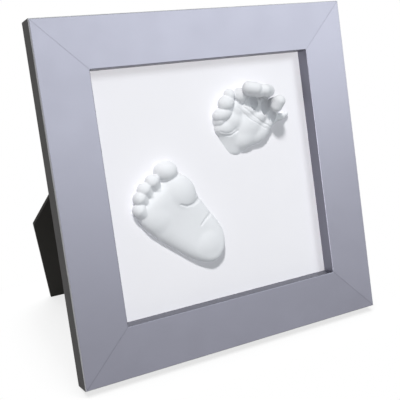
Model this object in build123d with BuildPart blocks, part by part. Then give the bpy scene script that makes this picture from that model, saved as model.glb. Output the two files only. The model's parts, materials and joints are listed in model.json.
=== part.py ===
from build123d import *
from math import acos, cos, pi, radians, sin, sqrt
import os

os.makedirs("parts", exist_ok=True)

# Square frame of four mitred rails, in millimetres and degrees
frame_side = 250.0
rail_width = 36.3
well_depth = 11.6
rebate_width = 10.0
lean = 16.87
front_arris = 0.9
inner_arris = 0.6
back_arris = 0.5
mitre_gap = 0.06
mitre_bevel = 0.25

# Card and panel stacked in the rebate
card_thickness = 2.0
panel_thickness = 3.0
panel_recess = 0.3
pocket_play = 0.5

# V nails across the back of each mitre
nails_per_mitre = 2
nail_leg = 4.4
nail_sheet = 1.1
nail_length = 7.0
nail_play = 0.04

# Board strut and its hinge
strut_open = 34.5
strut_thickness = 3.0
strut_gap = 4.0
strut_head_width = 108.0
strut_shoulder_width = 240.0
strut_foot_width = 208.0
strut_shoulder_height = 84.0
strut_corner_radius = 2.5
strut_head_radius = 7.0
heel_play = 0.1
heel_margin = 1.0
hinge_width = 66.0
knuckle_count = 5
knuckle_play = 0.2
knuckle_side_play = 0.3
pin_diameter = 2.0
pin_play = 0.05
pin_head_length = 0.7
pin_head_overlap = 0.5
leaf_thickness = 0.8
leaf_length = 19.0
leaf_notch_play = 0.4
leaf_corner_radius = 2.0

# Rivets of the hinge leaves
rivet_count = 3
rivet_diameter = 3.2
rivet_play = 0.05
rivet_head_diameter = 6.4
rivet_head_height = 0.9
rivet_tail_diameter = 5.0
rivet_tail_height = 0.6
head_bevel = 0.6

# Turn buttons and their screws
button_thickness = 1.0
button_play = 0.05
button_eye_radius = 4.6
button_tip_radius = 3.0
button_reach = 13.0
button_inset = 5.6
button_spacing = 100.0
button_grip_radius = 1.6
button_grip_height = 0.6
screw_diameter = 3.0
screw_play = 0.1
screw_length = 10.0
screw_head_diameter = 5.6
screw_head_height = 1.3
screw_slot_width = 0.9
screw_slot_length = 3.4
screw_slot_depth = 0.7

# Sawtooth hanger on the top rail
hanger_length = 44.0
hanger_width = 10.0
hanger_sheet = 0.7
hanger_rise = 1.6
hanger_foot = 9.0
hanger_ramp = 3.0
tooth_pitch = 2.2
tooth_depth = 1.3
nail_shank_diameter = 1.6
nail_shank_length = 11.0
nail_head_diameter = 4.0
nail_head_height = 0.7

# Plaster casts on their sticky pads, placed from the middle of the card
pad_thickness = 0.4
pad_diameter = 13.0
foot_heel_x = -8.0
foot_heel_y = -60.0
foot_heading = 123.7
hand_wrist_x = 17.0
hand_wrist_y = 17.0
hand_heading = 52.0
foot_pad_distances = (16.0, 38.0, 60.0)
hand_pad_distances = (12.0, 30.0)
cast_wall = 3.0

# Derived sizes
rail_depth = well_depth + card_thickness + panel_thickness + panel_recess
rebate_depth = rail_depth - well_depth
opening_side = frame_side - 2 * rail_width
pocket_side = opening_side + 2 * rebate_width
sheet_side = pocket_side - 2 * pocket_play
land_width = rail_width - rebate_width
nail_pitch = land_width * sqrt(2) / (nails_per_mitre + 1)
nail_starts = [(step + 1) * nail_pitch - nail_leg / 2 for step in range(nails_per_mitre)]
hanger_drop = land_width / 2
tilt_sin = sin(radians(lean))
tilt_cos = cos(radians(lean))
open_sin = sin(radians(strut_open))
open_cos = cos(radians(strut_open))
spread_sin = sin(radians(strut_open - lean))
spread_cos = cos(radians(strut_open - lean))

# The lowest point of the rounded back arris rests on the ground
arris_lift = tilt_sin + tilt_cos - 1
ground_drop = back_arris * arris_lift
axis_back = strut_gap / 2 - panel_recess
heel = strut_gap / 2 * (1 + open_cos) / open_sin - heel_play
hinge_height = (frame_side + sheet_side) / 2 - heel - heel_margin
axis_rise = hinge_height * tilt_cos - axis_back * tilt_sin - ground_drop
axis_setback = hinge_height * tilt_sin + axis_back * tilt_cos
strut_outside = strut_gap / 2 + strut_thickness

# Knuckles fill the gap between the boards, and each leaf clears the other's knuckles
knuckle_radius = strut_gap / 2 - knuckle_play
knuckle_pitch = hinge_width / knuckle_count
leaf_notch = knuckle_radius + leaf_notch_play
bore_radius = pin_diameter / 2 + pin_play
rivet_pitch = hinge_width / rivet_count
rivet_drop = (leaf_notch + leaf_length) / 2


def floor_reach(offset):
    """Length along the open strut from the pin to the ground, at an offset behind the pin."""
    return (axis_rise + offset * spread_sin) / spread_cos


# The footprint reaches from the front arris to the back of the strut's foot
reach_front = rail_depth * tilt_cos - front_arris * arris_lift
reach_back = axis_setback + floor_reach(strut_outside) * spread_sin + strut_outside * spread_cos
back_edge_y = (reach_front - reach_back) / 2

# Planes of the leaning frame: x to the right, y up the frame, z out of its front
BACK = Plane(origin=(0, back_edge_y, -ground_drop), x_dir=(1, 0, 0), z_dir=(0, -tilt_cos, tilt_sin))
CENTRE = Plane(BACK.location * Location((0, frame_side / 2, 0)))
PANEL = CENTRE.offset(panel_recess)
CARD = CENTRE.offset(rebate_depth)
CAST = CARD.offset(pad_thickness)
HINGE = Plane(BACK.location * Location((0, hinge_height, -axis_back)))
STRUT = Plane(HINGE.location * Location((0, 0, 0), (strut_open, 0, 0)))


def corner_plane(turn):
    """Plane at one outer corner of the back, with x running in along the mitre."""
    corner = Location((-frame_side / 2, -frame_side / 2, 0), (0, 0, 45))
    return Plane(CENTRE.location * Location((0, 0, 0), (0, 0, turn)) * corner)


def nail_outline(distance, play):
    """Corners of one V nail at a distance from the frame's corner, widened all round by the play."""
    tip = distance - play
    inner_tip = distance + nail_sheet + play
    end = distance + nail_leg + play
    outer = nail_leg + 2 * play
    inner = end - inner_tip
    return [(tip, 0), (end, outer), (end, inner), (inner_tip, 0), (end, -inner), (end, -outer)]


# The side rails carry the turn buttons and the top rail carries the hanger
rail_turns = {"bottom_rail": 0, "right_rail": 90, "top_rail": 180, "left_rail": 270}
button_turns = (rail_turns["left_rail"], rail_turns["right_rail"])
hanger_turn = rail_turns["top_rail"]


def hanger_nail_places():
    """Nail centres of the hanger on the plane of the top rail, seen as the lower one."""
    reach = hanger_length / 2 - hanger_foot / 2
    return [(-reach, hanger_drop - frame_side / 2), (reach, hanger_drop - frame_side / 2)]


def mitred_rail(turn):
    """One rail, made as the lower one and turned about the middle of the frame."""
    side = Plane(CENTRE.location * Location((0, 0, 0), (0, 0, turn)))
    start = side.from_local_coords((-frame_side / 2, 0, 0))
    outer = -frame_side / 2
    inner = outer + rail_width
    lip = inner - rebate_width
    button_eye = lip - button_inset
    with BuildPart() as rail:
        with BuildSketch(Plane(origin=start, x_dir=side.y_dir, z_dir=side.x_dir)) as section:
            with BuildLine():
                Polyline(
                    (outer, 0),
                    (lip, 0),
                    (lip, rebate_depth),
                    (inner, rebate_depth),
                    (inner, rail_depth),
                    (outer, rail_depth),
                    close=True,
                )
            make_face()
            fillet(section.vertices().sort_by_distance((outer, rail_depth))[0], radius=front_arris)
            fillet(section.vertices().sort_by_distance((inner, rail_depth))[0], radius=inner_arris)
            fillet(section.vertices().sort_by_distance((outer, 0))[0], radius=back_arris)
        extrude(amount=frame_side)
        for hand in (1, -1):
            across = side.x_dir * hand - side.y_dir
            cut = side.origin + across.normalized() * (mitre_gap / 2)
            split(bisect_by=Plane(origin=cut, z_dir=across), keep=Keep.TOP)
            bevel = cut + across.normalized() * mitre_bevel + side.z_dir * rail_depth
            split(bisect_by=Plane(origin=bevel, z_dir=across.normalized() - side.z_dir), keep=Keep.TOP)
        for corner_turn in (turn, turn + 90):
            for nail_start in nail_starts:
                with BuildSketch(corner_plane(corner_turn)):
                    with BuildLine():
                        Polyline(*nail_outline(nail_start, nail_play), close=True)
                    make_face()
                extrude(amount=nail_length + nail_play, mode=Mode.SUBTRACT)
        if turn in button_turns:
            with BuildSketch(side):
                with Locations((-button_spacing / 2, button_eye), (button_spacing / 2, button_eye)):
                    Circle(screw_diameter / 2 + screw_play / 2)
            extrude(amount=screw_length, mode=Mode.SUBTRACT)
        if turn == hanger_turn:
            with BuildSketch(side):
                with Locations(*hanger_nail_places()):
                    Circle(nail_shank_diameter / 2 + nail_play)
            extrude(amount=nail_shank_length, mode=Mode.SUBTRACT)
    return rail


for rail_name, rail_turn in rail_turns.items():
    rail = mitred_rail(rail_turn)
    rail.part.label = rail_name
    export_step(rail.part, f"parts/{rail_name}.step")

# V nails pressed across the four mitres
with BuildPart() as v_nails:
    for rail_turn in rail_turns.values():
        for nail_start in nail_starts:
            with BuildSketch(corner_plane(rail_turn)):
                with BuildLine():
                    Polyline(*nail_outline(nail_start, 0), close=True)
                make_face()
            extrude(amount=nail_length)

v_nails.part.label = "corner_v_nails"
export_step(v_nails.part, "parts/corner_v_nails.step")

# White card behind the well
with BuildPart() as card:
    with BuildSketch(CARD.offset(-card_thickness)):
        Rectangle(sheet_side, sheet_side)
    extrude(amount=card_thickness)

card.part.label = "backing_card"
export_step(card.part, "parts/backing_card.step")

# Rivet centres, measured from the pin line of the hinge
rivet_first = -(rivet_count - 1) * rivet_pitch / 2
rivet_spots = [(rivet_first + step * rivet_pitch, -rivet_drop) for step in range(rivet_count)]
PANEL_BACK = HINGE.offset(strut_gap / 2)
LEAF_BACK = PANEL_BACK.offset(-leaf_thickness)

# Back panel with flush seats for the rivet heads on its front
with BuildPart() as panel:
    with BuildSketch(PANEL):
        Rectangle(sheet_side, sheet_side)
    extrude(amount=panel_thickness)
    with BuildSketch(PANEL_BACK):
        with Locations(*rivet_spots):
            Circle(rivet_diameter / 2 + rivet_play)
    extrude(amount=panel_thickness, mode=Mode.SUBTRACT)
    with BuildSketch(PANEL_BACK.offset(panel_thickness - rivet_head_height)):
        with Locations(*rivet_spots):
            Circle(rivet_head_diameter / 2 + rivet_play)
    extrude(amount=rivet_head_height, mode=Mode.SUBTRACT)

panel.part.label = "back_panel"
export_step(panel.part, "parts/back_panel.step")

# Panel rivets: flat head in the panel's front, tail spread over the leaf
with BuildPart() as panel_rivets:
    with BuildSketch(LEAF_BACK):
        with Locations(*rivet_spots):
            Circle(rivet_diameter / 2)
    extrude(amount=leaf_thickness + panel_thickness)
    with BuildSketch(PANEL_BACK.offset(panel_thickness - rivet_head_height)):
        with Locations(*rivet_spots):
            Circle(rivet_head_diameter / 2)
    extrude(amount=rivet_head_height)
    with BuildSketch(LEAF_BACK):
        with Locations(*rivet_spots):
            Circle(rivet_tail_diameter / 2)
    extrude(amount=-rivet_tail_height)
    tail_rims = panel_rivets.faces().sort_by(Axis(HINGE.origin, HINGE.z_dir))[:rivet_count].edges()
    chamfer(tail_rims, length=rivet_tail_height * head_bevel)

panel_rivets.part.label = "panel_rivets"
export_step(panel_rivets.part, "parts/panel_rivets.step")


# Hinge leaves share out the knuckles
def hinge_leaf(base, facing, own):
    """One leaf lying on a board at half the strut gap from the pin, with its own knuckles."""
    sheet = base.offset(facing * (strut_gap / 2 - leaf_thickness))
    plate_length = leaf_length - leaf_notch
    starts = [-hinge_width / 2 + index * knuckle_pitch for index in own]
    knuckle_length = knuckle_pitch - knuckle_side_play
    with BuildPart() as leaf:
        with BuildSketch(sheet) as plate:
            with Locations((0, -leaf_notch - plate_length / 2)):
                Rectangle(hinge_width, plate_length)
            fillet(plate.vertices().group_by(Axis.Y)[0], radius=leaf_corner_radius)
            with Locations(*[(start + knuckle_pitch / 2, -leaf_notch / 2) for start in starts]):
                Rectangle(knuckle_length, leaf_notch)
            with Locations(*rivet_spots):
                Circle(rivet_diameter / 2 + rivet_play, mode=Mode.SUBTRACT)
        extrude(amount=facing * leaf_thickness)
        for start in starts:
            end = base.from_local_coords((start + knuckle_side_play / 2, 0, 0))
            with BuildSketch(Plane(origin=end, x_dir=base.y_dir, z_dir=base.x_dir)):
                Circle(knuckle_radius)
            extrude(amount=knuckle_length)
        bore_end = base.from_local_coords((-hinge_width / 2, 0, 0))
        with BuildSketch(Plane(origin=bore_end, x_dir=base.y_dir, z_dir=base.x_dir)):
            Circle(bore_radius)
        extrude(amount=hinge_width, mode=Mode.SUBTRACT)
    return leaf


fixed_leaf = hinge_leaf(HINGE, 1, range(0, knuckle_count, 2))
fixed_leaf.part.label = "hinge_fixed_leaf"
export_step(fixed_leaf.part, "parts/hinge_fixed_leaf.step")

moving_leaf = hinge_leaf(STRUT, -1, range(1, knuckle_count, 2))
moving_leaf.part.label = "hinge_moving_leaf"
export_step(moving_leaf.part, "parts/hinge_moving_leaf.step")

# Hinge pin with a peened head at each end
with BuildPart() as pin:
    pin_start = HINGE.from_local_coords((-hinge_width / 2, 0, 0))
    pin_end = Plane(origin=pin_start, x_dir=HINGE.y_dir, z_dir=HINGE.x_dir)
    with BuildSketch(pin_end):
        Circle(pin_diameter / 2)
    extrude(amount=hinge_width)
    with BuildSketch(pin_end, pin_end.offset(hinge_width + pin_head_length)):
        Circle(pin_diameter / 2 + pin_head_overlap)
    extrude(amount=-pin_head_length)
    pin_ends = pin.faces().filter_by(Axis.X).sort_by(Axis.X)
    chamfer([pin_ends[0].edges()[0], pin_ends[-1].edges()[0]], length=pin_head_length * head_bevel)

pin.part.label = "hinge_pin"
export_step(pin.part, "parts/hinge_pin.step")

# Board strut, built in its open place and trimmed level with the ground
strut_reach = floor_reach(strut_gap / 2 + strut_thickness / 2)
shoulder_y = strut_shoulder_height - strut_reach
foot_taper = (strut_shoulder_width - strut_foot_width) / 2 / strut_shoulder_height
foot_y = -strut_reach - strut_thickness
foot_half = strut_foot_width / 2 - foot_taper * strut_thickness
STRUT_FACE = STRUT.offset(-strut_gap / 2)

with BuildPart() as strut:
    with BuildSketch(STRUT_FACE) as board:
        with BuildLine():
            Polyline(
                (-strut_head_width / 2, heel),
                (-strut_shoulder_width / 2, shoulder_y),
                (-foot_half, foot_y),
                (foot_half, foot_y),
                (strut_shoulder_width / 2, shoulder_y),
                (strut_head_width / 2, heel),
                close=True,
            )
        make_face()
        fillet(board.vertices().group_by(Axis.Y)[-1], radius=strut_head_radius)
        fillet(board.vertices().sort_by(Axis.X)[0], radius=strut_corner_radius)
        fillet(board.vertices().sort_by(Axis.X)[-1], radius=strut_corner_radius)
        with Locations(*rivet_spots):
            Circle(rivet_diameter / 2 + rivet_play, mode=Mode.SUBTRACT)
    extrude(amount=-strut_thickness)
    split(bisect_by=Plane.XY, keep=Keep.TOP)

strut.part.label = "easel_strut"
export_step(strut.part, "parts/easel_strut.step")

# Strut rivets: domed head behind, tail spread over the leaf
with BuildPart() as strut_rivets:
    with BuildSketch(STRUT_FACE.offset(leaf_thickness)):
        with Locations(*rivet_spots):
            Circle(rivet_diameter / 2)
    extrude(amount=-leaf_thickness - strut_thickness)
    with BuildSketch(STRUT_FACE.offset(leaf_thickness)):
        with Locations(*rivet_spots):
            Circle(rivet_tail_diameter / 2)
    extrude(amount=rivet_tail_height)
    with BuildSketch(STRUT_FACE.offset(-strut_thickness)):
        with Locations(*rivet_spots):
            Circle(rivet_head_diameter / 2)
    extrude(amount=-rivet_head_height)
    rivet_ends = strut_rivets.faces().sort_by(Axis(STRUT.origin, STRUT.z_dir))
    chamfer(rivet_ends[:rivet_count].edges(), length=rivet_head_height * head_bevel)
    chamfer(rivet_ends[-rivet_count:].edges(), length=rivet_tail_height * head_bevel)

strut_rivets.part.label = "strut_rivets"
export_step(strut_rivets.part, "parts/strut_rivets.step")

# Turn buttons over the edge of the panel
button_x = pocket_side / 2 + button_inset
button_places = {
    "turn_button_left_upper": (-button_x, button_spacing / 2, 0),
    "turn_button_left_lower": (-button_x, -button_spacing / 2, 0),
    "turn_button_right_upper": (button_x, button_spacing / 2, 180),
    "turn_button_right_lower": (button_x, -button_spacing / 2, 180),
}
BUTTON_FACE = CENTRE.offset(-button_play)

for button_name, (place_x, place_y, heading) in button_places.items():
    base = Plane(BUTTON_FACE.location * Location((place_x, place_y, 0), (0, 0, heading)))
    grip = base.offset(-button_thickness)
    grip_x = button_reach - button_tip_radius
    with BuildPart() as button:
        with BuildSketch(base):
            with BuildLine():
                CenterArc((0, 0), button_eye_radius, 0, 360)
                CenterArc((grip_x, 0), button_tip_radius, 0, 360)
            make_hull()
            Circle(screw_diameter / 2 + screw_play, mode=Mode.SUBTRACT)
        extrude(amount=-button_thickness)
        with BuildSketch(grip):
            with Locations((grip_x, 0)):
                Circle(button_grip_radius)
        extrude(amount=-button_grip_height)
        grip_rim = button.faces().sort_by(Axis(grip.origin, grip.z_dir))[0].edges()
        chamfer(grip_rim, length=button_grip_height * head_bevel)
    button.part.label = button_name
    export_step(button.part, f"parts/{button_name}.step")

# Button screws with a cross recess
BUTTON_TOP = BUTTON_FACE.offset(-button_thickness - button_play)
button_eyes = [place[:2] for place in button_places.values()]

with BuildPart() as screws:
    with BuildSketch(BUTTON_TOP):
        with Locations(*button_eyes):
            Circle(screw_diameter / 2)
    extrude(amount=screw_length)
    with BuildSketch(BUTTON_TOP):
        with Locations(*button_eyes):
            Circle(screw_head_diameter / 2)
    extrude(amount=-screw_head_height)
    head_tops = screws.faces().sort_by(Axis(CENTRE.origin, CENTRE.z_dir))[: len(button_eyes)]
    chamfer(head_tops.edges(), length=screw_head_height * head_bevel)
    with BuildSketch(BUTTON_TOP.offset(-screw_head_height)):
        with Locations(*button_eyes):
            Rectangle(screw_slot_length, screw_slot_width)
            Rectangle(screw_slot_width, screw_slot_length)
    extrude(amount=screw_slot_depth, mode=Mode.SUBTRACT)

screws.part.label = "turn_button_screws"
export_step(screws.part, "parts/turn_button_screws.step")

# Sawtooth hanger: a bridged strip with teeth along its lower edge
TOP_RAIL = Plane(CENTRE.location * Location((0, frame_side / 2 - hanger_drop, 0)))
hanger_bend = hanger_length / 2 - hanger_foot
hanger_deck = hanger_bend - hanger_ramp
hanger_nail_spots = [(x, -y) for x, y in hanger_nail_places()]
tooth_count = int(2 * hanger_deck // tooth_pitch)
hanger_edge = TOP_RAIL.from_local_coords((0, -hanger_width / 2, 0))

with BuildPart() as hanger:
    with BuildSketch(Plane(origin=hanger_edge, x_dir=TOP_RAIL.x_dir, z_dir=TOP_RAIL.y_dir)):
        with BuildLine():
            Polyline(
                (-hanger_length / 2, 0),
                (-hanger_bend, 0),
                (-hanger_deck, hanger_rise),
                (hanger_deck, hanger_rise),
                (hanger_bend, 0),
                (hanger_length / 2, 0),
                (hanger_length / 2, hanger_sheet),
                (hanger_bend, hanger_sheet),
                (hanger_deck, hanger_rise + hanger_sheet),
                (-hanger_deck, hanger_rise + hanger_sheet),
                (-hanger_bend, hanger_sheet),
                (-hanger_length / 2, hanger_sheet),
                close=True,
            )
        make_face()
    extrude(amount=hanger_width)
    with BuildSketch(TOP_RAIL):
        with Locations((0, -hanger_width / 2)):
            with GridLocations(tooth_pitch, 0, tooth_count, 1):
                with BuildLine():
                    Polyline((-tooth_pitch / 2, 0), (0, tooth_depth), (tooth_pitch / 2, 0), close=True)
                make_face()
    extrude(amount=-hanger_rise - hanger_sheet, mode=Mode.SUBTRACT)
    with BuildSketch(CENTRE):
        with Locations(*hanger_nail_spots):
            Circle(nail_shank_diameter / 2 + nail_play)
    extrude(amount=-hanger_sheet, mode=Mode.SUBTRACT)

hanger.part.label = "sawtooth_hanger"
export_step(hanger.part, "parts/sawtooth_hanger.step")

with BuildPart() as hanger_nails:
    with BuildSketch(CENTRE.offset(-hanger_sheet)):
        with Locations(*hanger_nail_spots):
            Circle(nail_shank_diameter / 2)
    extrude(amount=nail_shank_length)
    with BuildSketch(CENTRE.offset(-hanger_sheet)):
        with Locations(*hanger_nail_spots):
            Circle(nail_head_diameter / 2)
    extrude(amount=-nail_head_height)
    nail_tops = hanger_nails.faces().sort_by(Axis(CENTRE.origin, CENTRE.z_dir))[: len(hanger_nail_spots)]
    chamfer(nail_tops.edges(), length=nail_head_height * head_bevel)

hanger_nails.part.label = "hanger_nails"
export_step(hanger_nails.part, "parts/hanger_nails.step")


# Rounded plaster forms
def phalanx(base, start, end, start_width, end_width):
    """A tapered rounded limb between two points of a plane."""
    tail = base.from_local_coords(start)
    along = base.from_local_coords(end) - tail
    span = along.length
    big = start_width / 2
    small = end_width / 2
    slant = (big - small) / span
    flank = sqrt(1 - slant * slant)
    tip_turn = acos(slant) / 2
    tail_turn = tip_turn + pi / 2
    big_shoulder = (big * slant, big * flank)
    small_shoulder = (span + small * slant, small * flank)
    with BuildPart() as form:
        with BuildSketch(Plane(origin=tail, x_dir=along, z_dir=along.cross(base.z_dir))):
            with BuildLine():
                ThreePointArc((-big, 0), (big * cos(tail_turn), big * sin(tail_turn)), big_shoulder)
                Line(big_shoulder, small_shoulder)
                ThreePointArc(
                    small_shoulder,
                    (span + small * cos(tip_turn), small * sin(tip_turn)),
                    (span + small, 0),
                )
                Line((span + small, 0), (-big, 0))
            make_face()
        revolve(axis=Axis(tail, along))
    return form.part


def rounded_slices(base, stations):
    """Cross sections of a flat-backed cast: distance, left edge, right edge and height at each."""
    slices = []
    for along, left, right, height in stations.values():
        wall = min(cast_wall, height / 2)
        middle = (left + right) / 2
        place = Plane(origin=base.from_local_coords((along, 0, 0)), x_dir=base.y_dir, z_dir=base.x_dir)
        with BuildSketch(place) as slice_sketch:
            with BuildLine():
                Polyline((left, wall), (left, 0), (right, 0), (right, wall))
                EllipticalCenterArc((middle, wall), left - middle, height - wall, arc_size=180)
            make_face()
        slices.append(slice_sketch.sketch)
    return slices


# Foot, measured from the back of the heel: slices of the sole, then its ball pads and toes
FOOT = Plane(CAST.location * Location((foot_heel_x, foot_heel_y, 0), (0, 0, foot_heading)))
sole_stations = {
    "heel_back": (0.0, 3.5, -5.0, 3.6),
    "heel_rise": (2.0, 7.6, -9.6, 6.6),
    "heel_round": (5.0, 10.8, -13.4, 8.6),
    "heel_pad": (10.0, 13.6, -17.0, 9.9),
    "heel_front": (18.0, 17.0, -19.6, 10.6),
    "arch": (34.0, 22.2, -19.8, 10.2),
    "midfoot": (48.0, 25.9, -20.7, 10.2),
    "ball": (60.0, 27.0, -22.0, 10.5),
    "toe_roots": (69.0, 24.5, -21.5, 8.6),
    "toe_hollow": (75.0, 16.5, -18.0, 4.2),
}
foot_limbs = {
    "inner_ball": ((56.0, -11.0, 1.0), (64.5, -11.6, 1.0), 19.6, 20.0),
    "outer_ball": ((54.0, 13.0, 0.4), (62.0, 14.6, 0.4), 20.0, 19.4),
    "big_toe": ((77.2, -14.4, 2.6), (79.2, -12.2, 2.6), 16.6, 16.8),
    "second_toe": ((73.0, 0.4, 2.4), (80.0, 0.2, 4.4), 7.0, 11.4),
    "third_toe": ((73.0, 7.6, 2.4), (80.0, 8.5, 4.2), 7.0, 11.2),
    "fourth_toe": ((70.5, 13.6, 2.4), (77.6, 15.0, 4.2), 7.0, 11.2),
    "little_toe": ((65.5, 19.0, 2.4), (71.6, 20.8, 3.8), 7.0, 11.2),
}
sole_slices = rounded_slices(FOOT, sole_stations)
foot_forms = [phalanx(FOOT, *limb) for limb in foot_limbs.values()]

with BuildPart() as foot:
    loft(sole_slices)
    add(foot_forms)
    split(bisect_by=CAST, keep=Keep.TOP)

foot.part.label = "foot_cast"
export_step(foot.part, "parts/foot_cast.step")

# Hand, measured from the wrist: slices along the palm, then its thumb and curled fingers
PALM = Plane(CAST.location * Location((hand_wrist_x, hand_wrist_y, 0), (0, 0, hand_heading)))
FINGERS = Plane(CAST.location * Location((hand_wrist_x, hand_wrist_y, 0)))
palm_stations = {
    "wrist": (0.0, 7.0, -6.0, 2.8),
    "wrist_rise": (4.0, 11.8, -10.8, 5.2),
    "palm_root": (10.0, 14.8, -14.2, 7.8),
    "palm_middle": (20.0, 17.5, -17.5, 9.4),
    "palm_front": (30.0, 19.5, -19.5, 9.4),
    "knuckles": (38.0, 19.0, -19.0, 8.0),
    "finger_roots": (43.0, 15.0, -16.0, 4.6),
}
hand_limbs = {
    "thumb_ball": ((-6.5, 21.0, 2.5), (1.5, 21.8, 2.6), 14.6, 15.0),
    "thumb_web": ((3.0, 27.0, 0.5), (10.5, 37.0, 0.6), 14.4, 13.0),
    "thumb_bone": ((-8.2, 30.0, 3.2), (-2.8, 31.2, 3.3), 11.0, 11.4),
    "thumb_joint": ((-2.2, 38.2, 5.2), (-0.2, 39.2, 5.4), 11.6, 12.0),
    "thumb_tip": ((0.4, 40.4, 5.0), (2.8, 45.2, 5.2), 10.2, 8.8),
    "index_bone": ((16.0, 31.0, 0.4), (19.8, 44.0, 2.4), 14.0, 11.0),
    "index_knuckle": ((20.0, 45.8, 4.0), (14.2, 47.2, 13.6), 10.6, 10.2),
    "index_tip": ((14.6, 47.0, 13.4), (19.4, 46.0, 15.0), 9.8, 10.0),
    "middle_bone": ((26.0, 27.0, 0.4), (32.6, 41.4, 2.6), 14.0, 11.0),
    "middle_knuckle": ((33.2, 43.0, 4.0), (32.6, 44.4, 11.2), 10.6, 10.4),
    "middle_tip": ((32.2, 44.2, 11.0), (26.2, 44.8, 15.0), 9.9, 10.1),
    "ring_bone": ((33.0, 20.0, 0.4), (39.0, 32.4, 2.6), 12.0, 10.4),
    "ring_knuckle": ((39.5, 33.6, 4.0), (39.0, 34.4, 12.2), 10.1, 9.8),
    "ring_tip": ((38.6, 34.2, 12.0), (33.6, 34.2, 14.5), 9.3, 9.6),
    "little_bone": ((37.0, 18.4, 1.0), (45.5, 21.6, 3.4), 8.4, 7.2),
    "little_tip": ((45.3, 21.6, 3.8), (50.6, 23.9, 7.2), 6.8, 3.4),
}
palm_slices = rounded_slices(PALM, palm_stations)
hand_forms = [phalanx(FINGERS, *limb) for limb in hand_limbs.values()]

with BuildPart() as hand:
    loft(palm_slices)
    add(hand_forms)
    split(bisect_by=CAST, keep=Keep.TOP)

hand.part.label = "hand_cast"
export_step(hand.part, "parts/hand_cast.step")


# Sticky discs between the casts and the card
def glue_pads(base, distances):
    """Discs on the card under one cast, at distances along it."""
    places = [CARD.to_local_coords(base.from_local_coords((along, 0, 0))) for along in distances]
    with BuildPart() as discs:
        with BuildSketch(CARD):
            with Locations(*places):
                Circle(pad_diameter / 2)
        extrude(amount=pad_thickness)
    return discs


foot_pads = glue_pads(FOOT, foot_pad_distances)
foot_pads.part.label = "foot_glue_pads"
export_step(foot_pads.part, "parts/foot_glue_pads.step")

hand_pads = glue_pads(PALM, hand_pad_distances)
hand_pads.part.label = "hand_glue_pads"
export_step(hand_pads.part, "parts/hand_glue_pads.step")

print("back edge y", round(back_edge_y, 4), "ground drop", round(ground_drop, 4))
print("hinge pin", [round(value, 4) for value in HINGE.origin], "strut reach", round(strut_reach, 3))
print("folded foot below the frame", round(strut_reach - hinge_height, 2))
for button_name, (place_x, place_y, _) in button_places.items():
    print(button_name, [round(value, 4) for value in CENTRE.from_local_coords((place_x, place_y, 0))])
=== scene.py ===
"""Silver picture frame with plaster casts of a baby's hand and foot, dressed around its CAD frame."""

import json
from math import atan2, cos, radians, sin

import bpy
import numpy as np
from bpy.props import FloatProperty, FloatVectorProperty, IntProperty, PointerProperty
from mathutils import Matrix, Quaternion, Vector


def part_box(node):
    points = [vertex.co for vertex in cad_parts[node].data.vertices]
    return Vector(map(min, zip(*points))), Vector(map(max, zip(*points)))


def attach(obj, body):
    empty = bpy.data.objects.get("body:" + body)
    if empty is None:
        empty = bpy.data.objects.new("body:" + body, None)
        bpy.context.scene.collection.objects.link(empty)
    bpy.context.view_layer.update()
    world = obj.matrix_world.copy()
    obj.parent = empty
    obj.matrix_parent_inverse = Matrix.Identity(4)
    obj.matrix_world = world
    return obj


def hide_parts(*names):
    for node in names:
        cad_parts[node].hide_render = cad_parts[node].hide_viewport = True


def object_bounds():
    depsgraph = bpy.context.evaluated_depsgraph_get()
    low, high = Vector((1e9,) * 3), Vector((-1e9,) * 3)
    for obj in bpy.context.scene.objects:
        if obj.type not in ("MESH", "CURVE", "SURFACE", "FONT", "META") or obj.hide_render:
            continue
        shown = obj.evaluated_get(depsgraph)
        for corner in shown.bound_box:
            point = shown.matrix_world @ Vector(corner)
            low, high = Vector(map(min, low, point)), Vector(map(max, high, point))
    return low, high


bl_info = {
    "name": "Baby cast frame",
    "version": (1, 0, 0),
    "blender": (4, 5, 0),
    "location": "View3D > Sidebar > Cast frame",
    "description": "Finishes a leaning silver frame and models its plaster hand and foot",
    "category": "Object",
}

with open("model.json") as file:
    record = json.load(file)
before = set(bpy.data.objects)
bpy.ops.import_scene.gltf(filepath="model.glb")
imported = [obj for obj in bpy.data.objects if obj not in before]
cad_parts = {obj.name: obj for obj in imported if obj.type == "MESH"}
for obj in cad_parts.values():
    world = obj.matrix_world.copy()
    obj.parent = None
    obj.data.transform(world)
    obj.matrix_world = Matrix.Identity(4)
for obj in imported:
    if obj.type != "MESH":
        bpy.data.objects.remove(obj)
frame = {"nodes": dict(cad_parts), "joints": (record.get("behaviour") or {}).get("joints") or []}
cad_low, cad_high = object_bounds()

MM = 0.001
RAILS = ("top_rail", "bottom_rail", "left_rail", "right_rail")
STICKY_PADS = ("foot_glue_pads", "hand_glue_pads")
HINGE = ("hinge_fixed_leaf", "hinge_moving_leaf", "hinge_pin", "panel_rivets", "strut_rivets")
FASTENERS = ("turn_button_screws", "sawtooth_hanger", "hanger_nails", "corner_v_nails")
BUTTONS = tuple(
    name for name in frame["nodes"] if name.startswith("turn_button_") and name not in FASTENERS
)

# The swivel axis of a turn button points out of the frame's back, so it gives the lean
swivel = next(joint for joint in frame["joints"] if joint["name"].endswith("_swivel"))
FRONT = -Vector(swivel["axis"]).normalized()
RIGHT = Vector((1, 0, 0))
UP = FRONT.cross(RIGHT)
LEAN = atan2(UP.y, UP.z)


def node_middle(node):
    """Middle of a CAD node's box."""
    low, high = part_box(node)
    return (Vector(low) + Vector(high)) / 2


def leaning_plane(origin):
    """Matrix from the frame's own directions (right, up along the frame, out of its front) to the scene."""
    turn = Matrix((RIGHT, UP, FRONT)).transposed().to_4x4()
    return Matrix.Translation(origin) @ turn


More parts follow.
